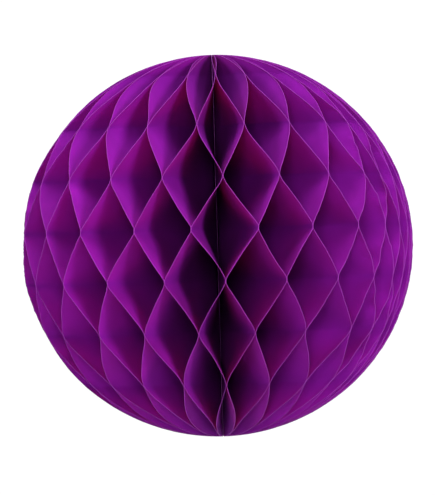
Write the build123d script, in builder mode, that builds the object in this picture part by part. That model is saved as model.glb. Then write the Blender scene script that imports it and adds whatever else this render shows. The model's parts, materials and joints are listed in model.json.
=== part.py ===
from build123d import *
import os
from math import cos, exp, radians, sin, tan

os.makedirs("parts", exist_ok=True)

# A paper honeycomb ball, open and ready to hang. Half-oval tissue leaves stand round an upright
# spine thread like the pages of a book opened right round. Each leaf is glued to the next along
# level bands, at even rows on one side and odd rows on the other, so the leaves pull one another
# into diamond cells. Two half-oval card covers close the fan. They stand back to back at the
# seam, along +X, held by two adhesive tabs. Closed, the leaves and covers fold flat towards -X.
#
# Millimetres and degrees, +Z up the spine, origin at the centre of the ball. A "turn" is the
# angle round the spine from the middle of the fan (-X): +180 at the front cover's side of the
# seam, -180 at the rear cover's. The front half of the ball has y < 0.

# Driving dimensions
ball_height = 200.0
ball_width = 204.6
leaf_count = 52
leaf_thickness = 0.06
leaf_gap = 0.02  # clear space between neighbouring leaves where they are glued
core_radius = 1.5  # from the spine's axis to the leaves' inner edges
glue_rows = 8
top_row_height = 88.7
row_pitch = 26.7
glue_band = 3.0  # height of one glued stripe

# The leaves are bunched beside the covers, where the fan isn't pulled fully open.
tight_pitch = 3.4  # angle of one leaf beside a cover
bunched_leaves = 9.5  # leaves on each side of the seam that are bunched
bunch_blend = 1.2  # over about this many leaves they open to the full pitch

cover_thickness = 0.8
cover_setback = 3.0  # the covers' rims stay this far inside the tissue
cover_spine_gap = 2.0  # from the spine's axis to the covers' straight edges
cover_corner = 2.0
tab_thickness = 0.22
tab_length = 25.0
tab_width = 12.0
tab_reach = 45.0  # from the spine to the middle of a tab
tab_height = 55.0  # above and below the middle of the ball
slip = 0.02  # clear space between pieces that only lie against each other

thread_diameter = 0.9
knot_diameter = 2.4

# Worked-out dimensions
leaf_stack = leaf_thickness + leaf_gap
cover_face = tab_thickness / 2 + slip / 2  # outer faces of the covers, either side of y = 0
seam_half_width = cover_face + cover_thickness + slip
ball_radius = ball_width / 2


def openness(leaf):
    """Share of the full pitch that a leaf has opened to, near 0 beside a cover and 1 far off."""
    from_cover = min(leaf, leaf_count - 1 - leaf) + 0.5
    return 1 / (1 + exp((bunched_leaves - from_cover) / bunch_blend))


def station_turns():
    """The turns of the planes where leaves meet, from the front cover round to the rear one."""
    opened = [openness(leaf) for leaf in range(leaf_count)]
    full_extra = (360 - leaf_count * tight_pitch) / sum(opened)
    turns = [180.0]
    for share in opened:
        turns.append(turns[-1] - tight_pitch - full_extra * share)
    return turns


def spine_frame(turn):
    """Frame of a sheet at a turn: x outward from the spine, y towards larger turns, z up.
    Its origin slides sideways with the turn, which leaves room for the covers at the seam."""
    outward = (-cos(radians(turn)), -sin(radians(turn)), 0)
    sideways = -seam_half_width * turn / 180
    return Plane(origin=(0, sideways, 0), x_dir=outward, z_dir=(0, 0, 1))


def upright(frame):
    """The sheet's own plane, with x outward and y up, for sketching its outline."""
    return Plane(origin=frame.origin, x_dir=frame.x_dir, z_dir=-frame.y_dir)


def glued_line(frame, station, side):
    """Inner and outer ends of a leaf's level line along a station, seen in the leaf's frame.
    The leaf lies half a stack's pitch to one side of the station's own plane."""
    there = spine_frame(station)
    reach = ball_radius * 1.05
    outer = there.from_local_coords((reach, side * leaf_stack / 2, 0))
    return Vector(core_radius, 0, 0), frame.to_local_coords(outer)


def leaf_facets(frame, leaf, turns):
    """Flat facets of one leaf: a strip at each glued row, and a folded wall between rows."""
    lines = [glued_line(frame, turns[leaf], -1), glued_line(frame, turns[leaf + 1], 1)]
    levels = []
    for row in range(-1, glue_rows + 1):
        middle = top_row_height - row_pitch * row
        line = lines[(leaf + row) % 2]
        levels.append((middle + glue_band / 2, line))
        levels.append((middle - glue_band / 2, line))
    facets = []
    for (top, upper), (bottom, lower) in zip(levels[:-1], levels[1:]):
        up, down = Vector(0, 0, top), Vector(0, 0, bottom)
        inner_top, outer_top = upper[0] + up, upper[1] + up
        inner_bottom, outer_bottom = lower[0] + down, lower[1] + down
        if upper is lower:
            facets.append((inner_top, outer_top, outer_bottom, inner_bottom))
        else:
            facets.append((inner_top, outer_top, outer_bottom))
            facets.append((inner_top, outer_bottom, inner_bottom))
    return facets


def half_oval(radius, half_height, start=0.0):
    """Sketches half an oval whose straight edge stands `start` from the spine."""
    Ellipse(radius, half_height)
    Rectangle(2 * radius, 3 * half_height, align=(Align.MAX, Align.CENTER), mode=Mode.SUBTRACT)
    if start:
        Rectangle(2 * start, 3 * half_height, mode=Mode.SUBTRACT)


# Leaves, numbered from the front cover round to the rear cover
turns = station_turns()
for leaf in range(leaf_count):
    frame = spine_frame((turns[leaf] + turns[leaf + 1]) / 2)
    half_thickness = Vector(0, leaf_thickness / 2, 0)
    faces = []
    for corners in leaf_facets(frame, leaf, turns):
        points = [frame.from_local_coords(corner - half_thickness) for corner in corners]
        faces.append(Face(Wire.make_polygon(points)))
    fold_reach = ball_radius * tan(radians(turns[leaf] - turns[leaf + 1])) + leaf_stack
    with BuildPart() as tissue_leaf:
        extrude(faces, amount=leaf_thickness, dir=frame.y_dir)
        with BuildSketch(upright(frame)):
            half_oval(ball_radius, ball_height / 2)
        extrude(amount=fold_reach, both=True, mode=Mode.INTERSECT)
    name = f"leaf_{leaf + 1:02d}"
    tissue_leaf.part.label = name
    export_step(tissue_leaf.part, f"parts/{name}.step")

# Covers: half-oval cards, back to back along the seam
for name, outside in (("front_cover", -1), ("rear_cover", 1)):
    card_plane = Plane(origin=(0, outside * cover_face, 0), x_dir=(1, 0, 0), z_dir=(0, outside, 0))
    with BuildPart() as cover:
        with BuildSketch(card_plane) as card:
            half_oval(ball_radius - cover_setback, ball_height / 2 - cover_setback, cover_spine_gap)
            fillet(card.vertices(), cover_corner)
        extrude(amount=cover_thickness)
    cover.part.label = name
    export_step(cover.part, f"parts/{name}.step")

# Adhesive tabs between the covers, on the rear cover's outer face
for name, height in (("upper_tab", tab_height), ("lower_tab", -tab_height)):
    tab_plane = Plane(origin=(tab_reach, cover_face, height), x_dir=(1, 0, 0), z_dir=(0, -1, 0))
    with BuildPart() as tab:
        with BuildSketch(tab_plane):
            RectangleRounded(tab_width, tab_length, 1.0)
        extrude(amount=tab_thickness)
    tab.part.label = name
    export_step(tab.part, f"parts/{name}.step")

# Spine thread, with a knot just inside each pole
knot_height = (ball_height - knot_diameter) / 2
with BuildPart() as thread:
    Cylinder(thread_diameter / 2, 2 * knot_height)
    with Locations((0, 0, -knot_height), (0, 0, knot_height)):
        Sphere(knot_diameter / 2)
thread.part.label = "spine_thread"
export_step(thread.part, "parts/spine_thread.step")
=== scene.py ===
import json
from math import cos, pi, radians, sin, sqrt

import bpy
import numpy as np
from mathutils import Euler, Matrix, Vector


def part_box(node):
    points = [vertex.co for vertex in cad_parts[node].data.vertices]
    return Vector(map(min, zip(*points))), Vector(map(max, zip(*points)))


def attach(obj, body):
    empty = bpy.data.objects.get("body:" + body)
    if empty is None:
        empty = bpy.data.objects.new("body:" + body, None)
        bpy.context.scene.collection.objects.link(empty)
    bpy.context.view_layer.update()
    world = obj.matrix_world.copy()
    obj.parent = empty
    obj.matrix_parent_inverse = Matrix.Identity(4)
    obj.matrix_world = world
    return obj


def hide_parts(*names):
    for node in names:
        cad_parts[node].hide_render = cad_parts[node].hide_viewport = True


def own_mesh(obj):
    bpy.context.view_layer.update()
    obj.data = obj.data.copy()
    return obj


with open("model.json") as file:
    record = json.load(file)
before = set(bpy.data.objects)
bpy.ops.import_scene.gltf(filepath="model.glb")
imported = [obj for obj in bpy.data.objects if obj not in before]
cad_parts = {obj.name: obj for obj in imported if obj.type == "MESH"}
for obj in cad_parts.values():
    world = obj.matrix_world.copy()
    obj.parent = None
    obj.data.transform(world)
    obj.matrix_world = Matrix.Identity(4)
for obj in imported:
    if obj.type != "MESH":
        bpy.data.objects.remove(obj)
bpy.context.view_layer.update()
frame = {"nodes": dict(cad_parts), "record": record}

# A paper honeycomb ball, seen from the front. Metres, +Z up the spine, origin at the middle of the
# ball. A leaf's "turn" is its angle round the spine from the middle of the fan, which is at -X; the
# seam between the two covers is at +X. The front half of the ball has y < 0.

# Sizes that the tissue is cut and glued to
BALL_RADIUS = 0.1023
HALF_HEIGHT = 0.1000
CORE_RADIUS = 0.0015
GLUE_ROWS = 8
TOP_ROW = 0.0887
ROW_PITCH = 0.0267
GLUE_BAND = 0.0030
FREE_RADIUS = 0.030  # nearer the spine than this, the leaves are held too close to wave freely

# How thick the tissue is drawn
TISSUE = 0.00010
RIM_TISSUE = 0.00020  # the cut rim is frayed, and stands thicker
RIM_FRAY = 0.0004  # width of the frayed rim
FRAY_SHARE = 0.2  # most of a leaf's width that is frayed, near the poles
GAP = 0.00002  # between leaves where they are glued
WEDGE_SHARE = 0.42  # most of its wedge that a leaf fills, where the wedge is narrow
CLOSED_TISSUE = 0.00005  # thickness that a leaf keeps in its slot of 0.08 mm when the fan is closed
LEAST_DRAWN = 0.000002  # thickness that is still drawn where CLOSED_TISSUE is all there is

# Where the rows and columns of a leaf's vertices are
BAND_ROWS = (-0.5, -0.3, 0, 0.3, 0.5)  # across a glue band, in band heights
WALL_ROWS = 12  # steps between two glue bands
POLE_HEIGHT = 0.9997 * HALF_HEIGHT  # the tissue ends just short of the poles
POLAR_SHARE = 0.985  # of POLE_HEIGHT, past which rows go by latitude
POLAR_LATITUDES = np.arange(81.5, 90.01, 0.85)
LEAST_ROW_STEP = 1e-5
LEAST_WIDTH = 0.0004  # of a leaf, at the poles
COLUMNS = np.array([0, 4, 10, 18, 26, 34, 42, 50, 58, 66, 74, 81, 87, 92, 96]) / 96
FRAY_COLUMNS = (0.35, 0.7, 1.0)

# Folds: rounding of their corners, as a share of a wall's height
RIM_SOFTNESS = 0.015
SPINE_SOFTNESS = 0.47  # more than at the rim
SOFTENING = 0.55  # power with which it falls off towards the rim

# How far the leaves stray from even folds, and where: turns in degrees
CRUMPLED_FROM, CRUMPLED_OVER = 124, 26  # beside the covers, rising to fully loose
SLACK_FROM, SLACK_OVER = 42, 25  # opposite the covers
SLACK_LOOSENESS = 0.4
SWING, LOOSE_SWING = 0.03, 0.10  # of a glued line, as a share of the pitch; more where loose
BOW, LOOSE_BOW = 0.018, 0.08  # of a wall, as a share of the way across its wedge
LOOSE_CRUMPLE = 0.12
MOST_BOW = 0.24
RIM_WANDER = 0.00012  # of the cut edge, in and out

# The spine thread: twisted plies, and a knot at each end
PLIES = 3
PLY_SIDES = 8
PLY_PITCH = 0.0030
PLY_STEPS = 12  # along one turn of a ply
PLY_OFFSET = 0.00024
PLY_RADIUS = 0.00021
KNOT_RADIUS = 0.0012
KNOT_CORD = 0.00042
KNOT_STRETCH = 1.9  # of the knot along the thread
KNOT_STEPS = 72
KNOT_SIDES = 10
ASKEW = (0.31, 0.83, 0.46)  # a direction that no cord runs along

# Camera, and lamps placed round it
CAMERA_LONGITUDE = -2.7  # of the camera round the ball, from straight in front (-Y)
CAMERA_DISTANCE = 2.6
CAMERA_ROLL = 1.7  # the ball hangs with its top this far to the left
SENSOR = 36
PICTURE_HEIGHT = 0.2597  # of the view at the ball
AIM_RIGHT = 0.0005
AIM_DOWN = 0.0010
ROOM_LIGHT = 1.08
FLOOR_HEIGHT = -0.6
LAMPS = (
    # name, degrees right of the camera, degrees up, metres away, metres across, watts
    ("key", 31, 15, 1.3, 0.36, 31),
    ("fill", -70, 35, 1.3, 0.50, 18),
    ("top", 15, 78, 1.3, 0.70, 39),
    ("front", -3, 8, 1.3, 0.35, 12),
    ("back", 195, 35, 1.5, 0.90, 6),
)

rng = np.random.default_rng(8)


# ---------------------------------------------------------------- the fan, read from the frame


def leaf_name(leaf):
    return f"leaf_{leaf + 1:02d}"


def leaf_turns():
    """Each leaf's turn in degrees, from the one beside the front cover round to the rear cover."""
    ratios = {c["joint"]: c["ratio"] for c in frame["record"]["behaviour"]["couplings"]}
    names = sorted(n for n in frame["nodes"] if n.startswith("leaf_"))
    return [180 * ratios[name + "_fold"] for name in names]


def station_turns(turns):
    """The turns of the planes where leaves meet: each leaf's turn is midway between its two."""
    stations = [180.0]
    for turn in turns:
        stations.append(2 * turn - stations[-1])
    return stations


TURNS = leaf_turns()
STATIONS = station_turns(TURNS)
LEAVES = len(TURNS)
COVER_INNER_FACE = -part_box("front_cover")[0][1]


def spine_point(turn):
    """Where a sheet's line starts: it slides sideways with the turn, leaving room for the covers."""
    return np.array([0.0, -(COVER_INNER_FACE + GAP) * turn / 180, 0.0])


def outward(turn):
    t = np.radians(turn)
    return np.stack([-np.cos(t), -np.sin(t), np.zeros_like(t)], axis=-1)


def sideways(turn):
    """Level direction towards larger turns."""
    t = np.radians(turn)
    return np.stack([np.sin(t), -np.cos(t), np.zeros_like(t)], axis=-1)


# ---------------------------------------------------------------- tissue leaves


def soft_clip(x, width):
    """x held between 0 and 1, with corners rounded over `width` each side."""
    def soft_floor(v):
        rounded = (v + width) ** 2 / (4 * width)
        return np.where(v < -width, 0.0, np.where(v > width, v, rounded))

    return 1 - soft_floor(1 - soft_floor(x))


def fold_share(leaf, r, z):
    """1 where a leaf is glued to the one before it, 0 where it is glued to the next, by height.
    The folds are crisp at the rim and soften towards the spine, but still meet in the middle of
    each glue band."""
    row = (TOP_ROW - z) / ROW_PITCH
    first = leaf % 2
    away = np.abs((row - first + 1) % 2 - 1) * ROW_PITCH
    straight = (ROW_PITCH - GLUE_BAND / 2 - away) / (ROW_PITCH - GLUE_BAND)
    softness = RIM_SOFTNESS + SPINE_SOFTNESS * np.maximum(1 - r / BALL_RADIUS, 0) ** SOFTENING
    glued = soft_clip((ROW_PITCH - GLUE_BAND / 2) / (ROW_PITCH - GLUE_BAND), softness)
    return 0.5 + (soft_clip(straight, softness) - 0.5) * 0.5 / (glued - 0.5)


def leaf_heights():
    """Heights of a leaf's rows of vertices: close together at the glue bands and near the poles."""
    heights = set()
    for row in range(-1, GLUE_ROWS + 1):
        middle = TOP_ROW - row * ROW_PITCH
        for step in BAND_ROWS:
            heights.add(middle + step * GLUE_BAND)
        wall = ROW_PITCH - GLUE_BAND
        for step in range(1, WALL_ROWS):
            heights.add(middle - GLUE_BAND / 2 - wall * step / WALL_ROWS)
    heights = [h for h in heights if abs(h) < POLAR_SHARE * POLE_HEIGHT]
    polar = [POLE_HEIGHT * sin(radians(latitude)) for latitude in POLAR_LATITUDES]
    heights += polar + [-h for h in polar]
    kept = []
    for height in sorted(heights):
        if not kept or height - kept[-1] > LEAST_ROW_STEP:
            kept.append(height)
    return np.array(kept)


HEIGHTS = leaf_heights()


class Waves:
    """Smooth noise over a sheet, from a few level and upright waves."""

    def __init__(self, count, shortest):
        self.k = rng.uniform(-1, 1, (count, 2)) * 2 * pi / shortest
        self.phase = rng.uniform(0, 2 * pi, count)

    def __call__(self, r, z):
        total = sum(np.sin(k[0] * r + k[1] * z + p) for k, p in zip(self.k, self.phase))
        return total / sqrt(len(self.phase))


def looseness(turn):
    """0 where the fan is opened evenly, rising to 1 in the crumpled leaves beside the covers, and
    to less than half of that opposite them."""
    beside_covers = np.clip((abs(turn) - CRUMPLED_FROM) / CRUMPLED_OVER, 0, 1)
    opposite = SLACK_LOOSENESS * np.clip((SLACK_FROM - abs(turn)) / SLACK_OVER, 0, 1)
    return float(max(beside_covers, opposite))


def freedom(r):
    """0 at the spine, rising to 1 where the tissue can wave freely."""
    return np.clip(r / FREE_RADIUS, 0, 1)


STATION_WAVES = [Waves(count=5, shortest=0.05) for _ in STATIONS]
WALL_WAVES = [Waves(count=5, shortest=0.03) for _ in TURNS]
CRUMPLES = [Waves(count=9, shortest=0.011) for _ in TURNS]
RIM_WAVES = [Waves(count=6, shortest=0.004) for _ in TURNS]


def station_points(station, r, z, side):
    """Points of a station's surface at radii r and heights z, moved `side` towards larger turns."""
    pitch = abs(STATIONS[max(station - 1, 0)] - STATIONS[min(station + 1, LEAVES)])
    held = 0.0 if station in (0, LEAVES) else 1.0
    swing = SWING + LOOSE_SWING * looseness(STATIONS[station])
    slack = np.radians(swing * pitch) * held * STATION_WAVES[station](r, z) * freedom(r)
    turn = STATIONS[station] + np.degrees(slack)
    base = spine_point(STATIONS[station])
    return base + r[..., None] * outward(turn) + side[..., None] * sideways(turn)


def sheet_faces(rows, cols):
    """Faces of a front and a back grid of points, all facing out, and joined round their rim."""
    front = np.arange(rows * cols).reshape(rows, cols)
    back = front + rows * cols
    a, b, c, d = front[:-1, :-1], front[:-1, 1:], front[1:, 1:], front[1:, :-1]
    faces = [np.stack([a, b, c, d], -1).reshape(-1, 4)]
    a, b, c, d = back[:-1, :-1], back[:-1, 1:], back[1:, 1:], back[1:, :-1]
    faces.append(np.stack([d, c, b, a], -1).reshape(-1, 4))
    loop = np.concatenate([front[0, :], front[1:, -1], front[-1, -2::-1], front[-2:0:-1, 0]])
    ahead = np.roll(loop, -1)
    faces.append(np.stack([ahead, loop, loop + rows * cols, ahead + rows * cols], -1))
    return np.concatenate(faces)


def leaf_mesh(leaf):
    """A closed thin sheet: front and back faces, joined round the rim. It is drawn thinner by the
    thickness that swell() adds."""
    wedge = np.radians(STATIONS[leaf] - STATIONS[leaf + 1])
    rim = BALL_RADIUS / cos(wedge / 2) * np.sqrt(1 - (HEIGHTS / HALF_HEIGHT) ** 2)
    rim = rim + RIM_WANDER * RIM_WAVES[leaf](HEIGHTS, 0 * HEIGHTS) * rim / BALL_RADIUS
    span = np.maximum(rim - CORE_RADIUS, LEAST_WIDTH)
    fray = np.minimum(RIM_FRAY, span * FRAY_SHARE)
    columns = [CORE_RADIUS + (span - fray) * u for u in COLUMNS]
    columns += [CORE_RADIUS + span - fray * (1 - u) for u in FRAY_COLUMNS]
    r = np.stack(columns, axis=1)
    z = np.repeat(HEIGHTS[:, None], r.shape[1], axis=1)
    frayed = np.clip((r - (rim - fray)[:, None]) / fray[:, None], 0, 1)
    room = WEDGE_SHARE * wedge * r
    thick = np.minimum(TISSUE + (RIM_TISSUE - TISSUE) * frayed, room)
    thick = np.maximum(thick, CLOSED_TISSUE)
    offset = np.minimum(thick / 2 + GAP / 2, room)
    share = fold_share(leaf, r, z)
    loose = looseness(TURNS[leaf])
    bow = (BOW + LOOSE_BOW * loose) * WALL_WAVES[leaf](r, z)
    bow = bow + LOOSE_CRUMPLE * loose * CRUMPLES[leaf](r, z)
    between_glue = 4 * share * (1 - share)
    share = share + np.clip(bow, -MOST_BOW, MOST_BOW) * between_glue * freedom(r)
    upper = station_points(leaf, r, z, -offset)
    lower = station_points(leaf + 1, r, z, offset)
    middle = lower + (upper - lower) * share[..., None]
    middle[..., 2] = z
    along = np.gradient(middle, axis=1)
    upright = np.gradient(middle, axis=0)
    normal = np.cross(along, upright)
    normal /= np.maximum(np.linalg.norm(normal, axis=-1, keepdims=True), 1e-12)
    drawn = np.maximum(thick - CLOSED_TISSUE, LEAST_DRAWN)[..., None]
    skins = [middle + normal * drawn / 2, middle - normal * drawn / 2]
    verts = np.concatenate([skin.reshape(-1, 3) for skin in skins])
    mesh = bpy.data.meshes.new(leaf_name(leaf) + "_tissue")
    mesh.from_pydata(verts.tolist(), [], sheet_faces(*r.shape).tolist())
    rim_share = mesh.attributes.new("rim", "FLOAT", "POINT")
    rim_share.data.foreach_set("value", np.tile(frayed.reshape(-1), 2).astype(np.float32))
    mesh.shade_smooth()
    mesh.update()
    return mesh


def swell(piece):
    """Adds the thickness that the leaf keeps even when its folds are pressed flat."""
    added = piece.modifiers.new("tissue_thickness", "DISPLACE")
    added.direction = "NORMAL"
    added.mid_level = 0
    added.strength = CLOSED_TISSUE / 2


def make_leaf(leaf, material):
    piece = bpy.data.objects.new("tissue_" + leaf_name(leaf), leaf_mesh(leaf))
    bpy.context.scene.collection.objects.link(piece)
    swell(piece)
    piece.data.materials.append(material)
    name = leaf_name(leaf)
    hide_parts(name)
    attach(piece, name)
    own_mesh(piece)


# ---------------------------------------------------------------- spine thread


def tube(path, radius, sides, closed=False):
    """Vertices and faces of a round tube along `path`, an array of points."""
    ahead = np.gradient(path, axis=0)
    if closed:
        ahead = np.roll(path, -1, axis=0) - np.roll(path, 1, axis=0)
    ahead /= np.linalg.norm(ahead, axis=1, keepdims=True)
    across = np.cross(ahead, ASKEW)
    across /= np.linalg.norm(across, axis=1, keepdims=True)
    other = np.cross(ahead, across)
    angle = np.linspace(0, 2 * pi, sides, endpoint=False)
    ring = across[:, None] * np.cos(angle)[:, None] + other[:, None] * np.sin(angle)[:, None]
    verts = (path[:, None] + radius * ring).reshape(-1, 3)
    rows = len(path)
    index = np.arange(rows * sides).reshape(rows, sides)
    below = index if closed else index[:-1]
    above = np.roll(index, -1, axis=0) if closed else index[1:]
    corners = [below, np.roll(below, -1, 1), np.roll(above, -1, 1), above]
    faces = np.stack(corners, -1).reshape(-1, 4).tolist()
    if not closed:
        faces += [index[0, ::-1].tolist(), index[-1].tolist()]
    return verts, faces


def make_thread(material):
    """Three plies twisted together, with a trefoil knot just inside each pole."""
    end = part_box("spine_thread")[1][2] - KNOT_RADIUS
    z = np.linspace(-end, end, int(2 * end / PLY_PITCH * PLY_STEPS))
    parts = []
    for ply in range(PLIES):
        angle = 2 * pi * (z / PLY_PITCH + ply / PLIES)
        path = np.stack([PLY_OFFSET * np.cos(angle), PLY_OFFSET * np.sin(angle), z], axis=1)
        parts.append(tube(path, PLY_RADIUS, PLY_SIDES))
    t = np.linspace(0, 2 * pi, KNOT_STEPS, endpoint=False)
    trefoil = [np.sin(t) + 2 * np.sin(2 * t), np.cos(t) - 2 * np.cos(2 * t), -np.sin(3 * t)]
    loops = np.stack(trefoil, axis=1)
    scale = (KNOT_RADIUS - KNOT_CORD) / 3
    knot = loops * scale * (1, 1, KNOT_STRETCH)
    for side in (-1, 1):
        parts.append(tube(knot + (0, 0, side * end), KNOT_CORD, KNOT_SIDES, closed=True))
    verts, faces = [], []
    for points, quads in parts:
        start = sum(len(v) for v in verts)
        verts.append(points)
        faces += [[start + k for k in quad] for quad in quads]
    mesh = bpy.data.meshes.new("thread")
    mesh.from_pydata(np.concatenate(verts).tolist(), [], faces)
    mesh.shade_smooth()
    mesh.update()
    piece = bpy.data.objects.new("twisted_thread", mesh)
    bpy.context.scene.collection.objects.link(piece)
    mesh.materials.append(material)
    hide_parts("spine_thread")
    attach(piece, "spine")


# ---------------------------------------------------------------- materials


class Shader:
    """A new material, and short ways to add its nodes."""

    def __init__(self, name):
        self.material = bpy.data.materials.new(name)
        self.material.use_nodes = True
        self.nodes = self.material.node_tree.nodes
        self.links = self.material.node_tree.links
        self.nodes.clear()

    def add(self, kind, settings=None, **inputs):
        """A node. Each input is a number or colour, or another node's output to link to it; an
        input whose name has spaces is written with underlines."""
        node = self.nodes.new("ShaderNode" + kind)
        for name, value in (settings or {}).items():
            setattr(node, name, value)
        for name, value in inputs.items():
            socket = node.inputs[name.replace("_", " ")]
            if isinstance(value, bpy.types.NodeSocket):
                self.links.new(value, socket)
            else:
                socket.default_value = value
        return node

    def noise(self, vector, scale, detail, distortion=0):
        texture = self.add(
            "TexNoise", Vector=vector, Scale=scale, Detail=detail, Distortion=distortion
        )
        return texture.outputs["Fac"]

    def stretched(self, vector, scale):
        return self.add("Mapping", Vector=vector, Scale=scale).outputs["Vector"]

    def ramp(self, noise, dark, light, start):
        """Colours from dark to light, over the noise's range from `start` to 1 - `start`."""
        node = self.add("ValToRGB", Fac=noise)
        for element, place, colour in zip(
            node.color_ramp.elements, (start, 1 - start), (dark, light)
        ):
            element.position = place
            element.color = (*colour, 1)
        return node.outputs["Color"]

    def mix(self, share, first, second):
        node = self.add("Mix", {"data_type": "RGBA"}, Factor=share, A=first, B=second)
        return node.outputs["Result"]

    def bump(self, height, strength, distance, **under):
        node = self.add("Bump", Height=height, Strength=strength, Distance=distance, **under)
        return node.outputs["Normal"]

    def finish(self, surface):
        self.add("OutputMaterial", Surface=surface)
        return self.material


def tissue_material():
    """Dyed tissue: matt fibres with clouds in the dye, and light that comes through from behind."""
    shader = Shader("tissue")
    place = shader.add("TexCoord").outputs["Object"]
    rim = shader.add("Attribute", {"attribute_name": "rim"}).outputs["Fac"]
    clouds = shader.noise(place, scale=55, detail=4)
    dye = shader.ramp(clouds, (0.090, 0.0008, 0.130), (0.122, 0.0016, 0.172), start=0.3)
    # The frayed rim is paler: partly the loose fibres' own colour, and partly a painted sheen that
    # brightens the rims.
    colour = shader.mix(rim, dye, (0.122, 0.014, 0.154, 1))
    upright = shader.stretched(place, (1, 1, 0.35))
    crinkles = shader.noise(upright, scale=230, detail=3, distortion=0.5)
    creased = shader.bump(crinkles, strength=0.35, distance=0.0004)
    fibres = shader.noise(place, scale=1400, detail=2)
    relief = shader.bump(fibres, strength=0.2, distance=0.0001, Normal=creased)
    face = shader.add(
        "BsdfPrincipled",
        Base_Color=colour,
        Roughness=0.85,
        Specular_IOR_Level=0.08,
        Normal=relief,
    )
    glow = shader.add("BsdfTranslucent", Color=(0.47, 0.0010, 0.215, 1))
    # The frayed rim lets less light through than the sheet
    through = shader.add("MapRange", Value=rim, To_Min=0.38, To_Max=0.16)
    both = shader.add("MixShader", Fac=through.outputs["Result"])
    shader.links.new(face.outputs["BSDF"], both.inputs[1])
    shader.links.new(glow.outputs["BSDF"], both.inputs[2])
    return shader.finish(both.outputs["Shader"])


def plain_material(name, colour, roughness, scale, spread):
    """A matt material whose colour drifts by `spread` over noise of that scale."""
    shader = Shader(name)
    place = shader.add("TexCoord").outputs["Object"]
    noise = shader.noise(place, scale, detail=5)
    dark, light = [[min(1, c * k) for c in colour] for k in (1 - spread, 1 + spread)]
    face = shader.add(
        "BsdfPrincipled",
        Base_Color=shader.ramp(noise, dark, light, start=0.3),
        Roughness=roughness,
        Normal=shader.bump(noise, strength=0.3, distance=0.0001),
    )
    return shader.finish(face.outputs["BSDF"])


def card_material():
    """Grey board with a dyed paper on both faces: its cut edge shows the board's layers."""
    shader = Shader("card")
    source = shader.add("TexCoord")
    place = source.outputs["Object"]
    pulp = shader.noise(place, scale=420, detail=6)
    dye = shader.ramp(pulp, (0.036, 0.0015, 0.048), (0.050, 0.0030, 0.064), start=0.35)
    grain = shader.noise(shader.stretched(place, (1, 24, 1)), scale=300, detail=4)
    layers = shader.ramp(grain, (0.058, 0.010, 0.070), (0.115, 0.032, 0.130), start=0.35)
    # The faces look along the card's own Y, and the cut edge doesn't
    along = shader.add("SeparateXYZ", Vector=source.outputs["Normal"]).outputs["Y"]
    square = shader.add("Math", {"operation": "MULTIPLY"})
    shader.links.new(along, square.inputs[0])
    shader.links.new(along, square.inputs[1])
    is_face = shader.add("Math", {"operation": "GREATER_THAN"})
    shader.links.new(square.outputs["Value"], is_face.inputs[0])
    is_face.inputs[1].default_value = 0.5
    face = shader.add(
        "BsdfPrincipled",
        Base_Color=shader.mix(is_face.outputs["Value"], layers, dye),
        Roughness=0.80,
        Specular_IOR_Level=0.12,
        Normal=shader.bump(pulp, strength=0.25, distance=0.00008),
    )
    return shader.finish(face.outputs["BSDF"])


# ---------------------------------------------------------------- studio


def aim(obj, place, target):
    obj.location = place
    obj.rotation_euler = (Vector(target) - Vector(place)).to_track_quat("-Z", "Y").to_euler()


def from_front(longitude, elevation, distance):
    """A place round the ball: longitude in degrees right of the camera, as seen in its picture."""
    around = radians(CAMERA_LONGITUDE + longitude)
    up = radians(elevation)
    level = distance * cos(up)
    return Vector((level * sin(around), -level * cos(around), distance * sin(up)))


def area_light(name, longitude, elevation, distance, size, watts):
    data = bpy.data.lights.new(name, "AREA")
    data.shape = "DISK"
    data.size = size
    data.energy = watts
    lamp = bpy.data.objects.new(name, data)
    bpy.context.scene.collection.objects.link(lamp)
    aim(lamp, from_front(longitude, elevation, distance), (0, 0, 0))


def make_camera():
    data = bpy.data.cameras.new("camera")
    data.sensor_width = SENSOR
    data.lens = SENSOR * CAMERA_DISTANCE / PICTURE_HEIGHT
    data.clip_end = 100
    camera = bpy.data.objects.new("camera", data)
    bpy.context.scene.collection.objects.link(camera)
    place = from_front(0, 0, CAMERA_DISTANCE)
    facing = (-place).to_track_quat("-Z", "Y")
    turned = facing @ Euler((0, 0, radians(-CAMERA_ROLL))).to_quaternion()
    camera.rotation_mode = "QUATERNION"
    camera.rotation_quaternion = turned
    camera.location = place + turned @ Vector((AIM_RIGHT, -AIM_DOWN, 0))
    bpy.context.scene.camera = camera


def make_world():
    """The same soft white light from all round."""
    world = bpy.data.worlds.new("studio")
    bpy.context.scene.world = world
    world.use_nodes = True
    room = world.node_tree.nodes["Background"]
    room.inputs["Color"].default_value = (1, 1, 1, 1)
    room.inputs["Strength"].default_value = ROOM_LIGHT


def make_floor():
    bpy.ops.mesh.primitive_plane_add(size=200, location=(0, 0, FLOOR_HEIGHT))
    floor = bpy.context.object
    floor.name = "floor"
    shader = Shader("floor")
    face = shader.add("BsdfPrincipled", Base_Color=(0.95, 0.95, 0.95, 1), Roughness=0.9)
    floor.data.materials.append(shader.finish(face.outputs["BSDF"]))


def make_studio():
    make_world()
    make_floor()
    for lamp in LAMPS:
        area_light(*lamp)
    bpy.context.scene.view_settings.view_transform = "Standard"


make_camera()
make_studio()
tissue = tissue_material()
for number in range(LEAVES):
    make_leaf(number, tissue)

make_thread(
    plain_material("thread", (0.13, 0.010, 0.16), roughness=0.8, scale=2600, spread=0.35)
)
card = card_material()
liner = plain_material("adhesive", (0.30, 0.28, 0.23), roughness=0.32, scale=180, spread=0.10)
for node, material in (
    ("front_cover", card),
    ("rear_cover", card),
    ("upper_tab", liner),
    ("lower_tab", liner),
):
    for slot in frame["nodes"][node].material_slots:
        slot.material = material
